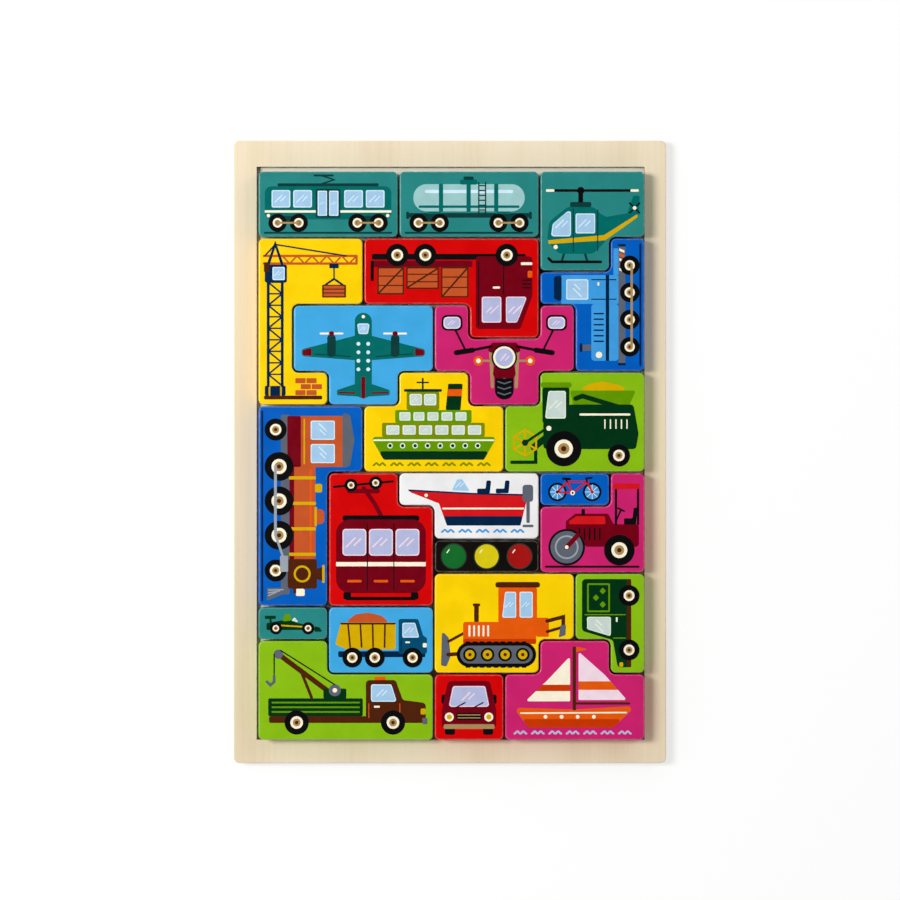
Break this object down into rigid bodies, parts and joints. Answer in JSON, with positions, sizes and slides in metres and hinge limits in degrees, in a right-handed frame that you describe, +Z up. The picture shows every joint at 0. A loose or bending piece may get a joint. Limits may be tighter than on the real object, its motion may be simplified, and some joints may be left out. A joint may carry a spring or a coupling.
{
  "type": "block packing tray puzzle",
  "caption": "Shallow plywood tray with a rectangular window, packed with painted wooden polyomino blocks that lift out, each printed with a simple vehicle.",
  "frame": {"origin": "centre of the tray's underside", "axes": "+X across the tray, +Y from its foot to its head, +Z up out of the tray"},
  "size_m": [0.205, 0.295, 0.014],
  "materials": {
    "base_ply": "sanded, unvarnished",
    "frame_ply": "sanded, unvarnished",
    "teal_paint": "satin paint on wood, printed top",
    "yellow_paint": "satin paint on wood, printed top",
    "red_paint": "satin paint on wood, printed top",
    "royal_blue_paint": "satin paint on wood, printed top",
    "sky_blue_paint": "satin paint on wood, printed top",
    "magenta_paint": "satin paint on wood, printed top",
    "lime_paint": "satin paint on wood, printed top",
    "white_paint": "satin paint on wood, printed top",
    "black_paint": "satin paint on wood, printed top"
  },
  "bodies": {
    "tray": {"tray_base": "base_ply", "tray_frame": "frame_ply"},
    "tram": {"tram_block": "teal_paint"},
    "tank_wagon": {"tank_wagon_block": "teal_paint"},
    "helicopter": {"helicopter_block": "teal_paint"},
    "crane": {"crane_block": "yellow_paint"},
    "lorry": {"lorry_block": "red_paint"},
    "shunter": {"shunter_block": "royal_blue_paint"},
    "plane": {"plane_block": "sky_blue_paint"},
    "motorbike": {"motorbike_block": "magenta_paint"},
    "ferry": {"ferry_block": "yellow_paint"},
    "harvester": {"harvester_block": "lime_paint"},
    "locomotive": {"locomotive_block": "royal_blue_paint"},
    "cable_car": {"cable_car_block": "red_paint"},
    "speedboat": {"speedboat_block": "white_paint"},
    "bicycle": {"bicycle_block": "royal_blue_paint"},
    "road_roller": {"road_roller_block": "magenta_paint"},
    "traffic_light": {"traffic_light_block": "black_paint"},
    "bulldozer": {"bulldozer_block": "yellow_paint"},
    "delivery_van": {"delivery_van_block": "lime_paint"},
    "racer": {"racer_block": "teal_paint"},
    "dump_truck": {"dump_truck_block": "sky_blue_paint"},
    "tow_truck": {"tow_truck_block": "lime_paint"},
    "van_front": {"van_front_block": "red_paint"},
    "sailing_boat": {"sailing_boat_block": "magenta_paint"}
  },
  "joints": [
    {"name": "tram_lift", "type": "slide", "parent": "tray", "child": "tram", "axis": [0, 0, 1], "range_m": [0, 0.03]},
    {"name": "tank_wagon_lift", "type": "slide", "parent": "tray", "child": "tank_wagon", "axis": [0, 0, 1], "range_m": [0, 0.03]},
    {"name": "helicopter_lift", "type": "slide", "parent": "tray", "child": "helicopter", "axis": [0, 0, 1], "range_m": [0, 0.03]},
    {"name": "crane_lift", "type": "slide", "parent": "tray", "child": "crane", "axis": [0, 0, 1], "range_m": [0, 0.03]},
    {"name": "lorry_lift", "type": "slide", "parent": "tray", "child": "lorry", "axis": [0, 0, 1], "range_m": [0, 0.03]},
    {"name": "shunter_lift", "type": "slide", "parent": "tray", "child": "shunter", "axis": [0, 0, 1], "range_m": [0, 0.03]},
    {"name": "plane_lift", "type": "slide", "parent": "tray", "child": "plane", "axis": [0, 0, 1], "range_m": [0, 0.03]},
    {"name": "motorbike_lift", "type": "slide", "parent": "tray", "child": "motorbike", "axis": [0, 0, 1], "range_m": [0, 0.03]},
    {"name": "ferry_lift", "type": "slide", "parent": "tray", "child": "ferry", "axis": [0, 0, 1], "range_m": [0, 0.03]},
    {"name": "harvester_lift", "type": "slide", "parent": "tray", "child": "harvester", "axis": [0, 0, 1], "range_m": [0, 0.03]},
    {"name": "locomotive_lift", "type": "slide", "parent": "tray", "child": "locomotive", "axis": [0, 0, 1], "range_m": [0, 0.03]},
    {"name": "cable_car_lift", "type": "slide", "parent": "tray", "child": "cable_car", "axis": [0, 0, 1], "range_m": [0, 0.03]},
    {"name": "speedboat_lift", "type": "slide", "parent": "tray", "child": "speedboat", "axis": [0, 0, 1], "range_m": [0, 0.03]},
    {"name": "bicycle_lift", "type": "slide", "parent": "tray", "child": "bicycle", "axis": [0, 0, 1], "range_m": [0, 0.03]},
    {"name": "road_roller_lift", "type": "slide", "parent": "tray", "child": "road_roller", "axis": [0, 0, 1], "range_m": [0, 0.03]},
    {"name": "traffic_light_lift", "type": "slide", "parent": "tray", "child": "traffic_light", "axis": [0, 0, 1], "range_m": [0, 0.03]},
    {"name": "bulldozer_lift", "type": "slide", "parent": "tray", "child": "bulldozer", "axis": [0, 0, 1], "range_m": [0, 0.03]},
    {"name": "delivery_van_lift", "type": "slide", "parent": "tray", "child": "delivery_van", "axis": [0, 0, 1], "range_m": [0, 0.03]},
    {"name": "racer_lift", "type": "slide", "parent": "tray", "child": "racer", "axis": [0, 0, 1], "range_m": [0, 0.03]},
    {"name": "dump_truck_lift", "type": "slide", "parent": "tray", "child": "dump_truck", "axis": [0, 0, 1], "range_m": [0, 0.03]},
    {"name": "tow_truck_lift", "type": "slide", "parent": "tray", "child": "tow_truck", "axis": [0, 0, 1], "range_m": [0, 0.03]},
    {"name": "van_front_lift", "type": "slide", "parent": "tray", "child": "van_front", "axis": [0, 0, 1], "range_m": [0, 0.03]},
    {"name": "sailing_boat_lift", "type": "slide", "parent": "tray", "child": "sailing_boat", "axis": [0, 0, 1], "range_m": [0, 0.03]}
  ]
}
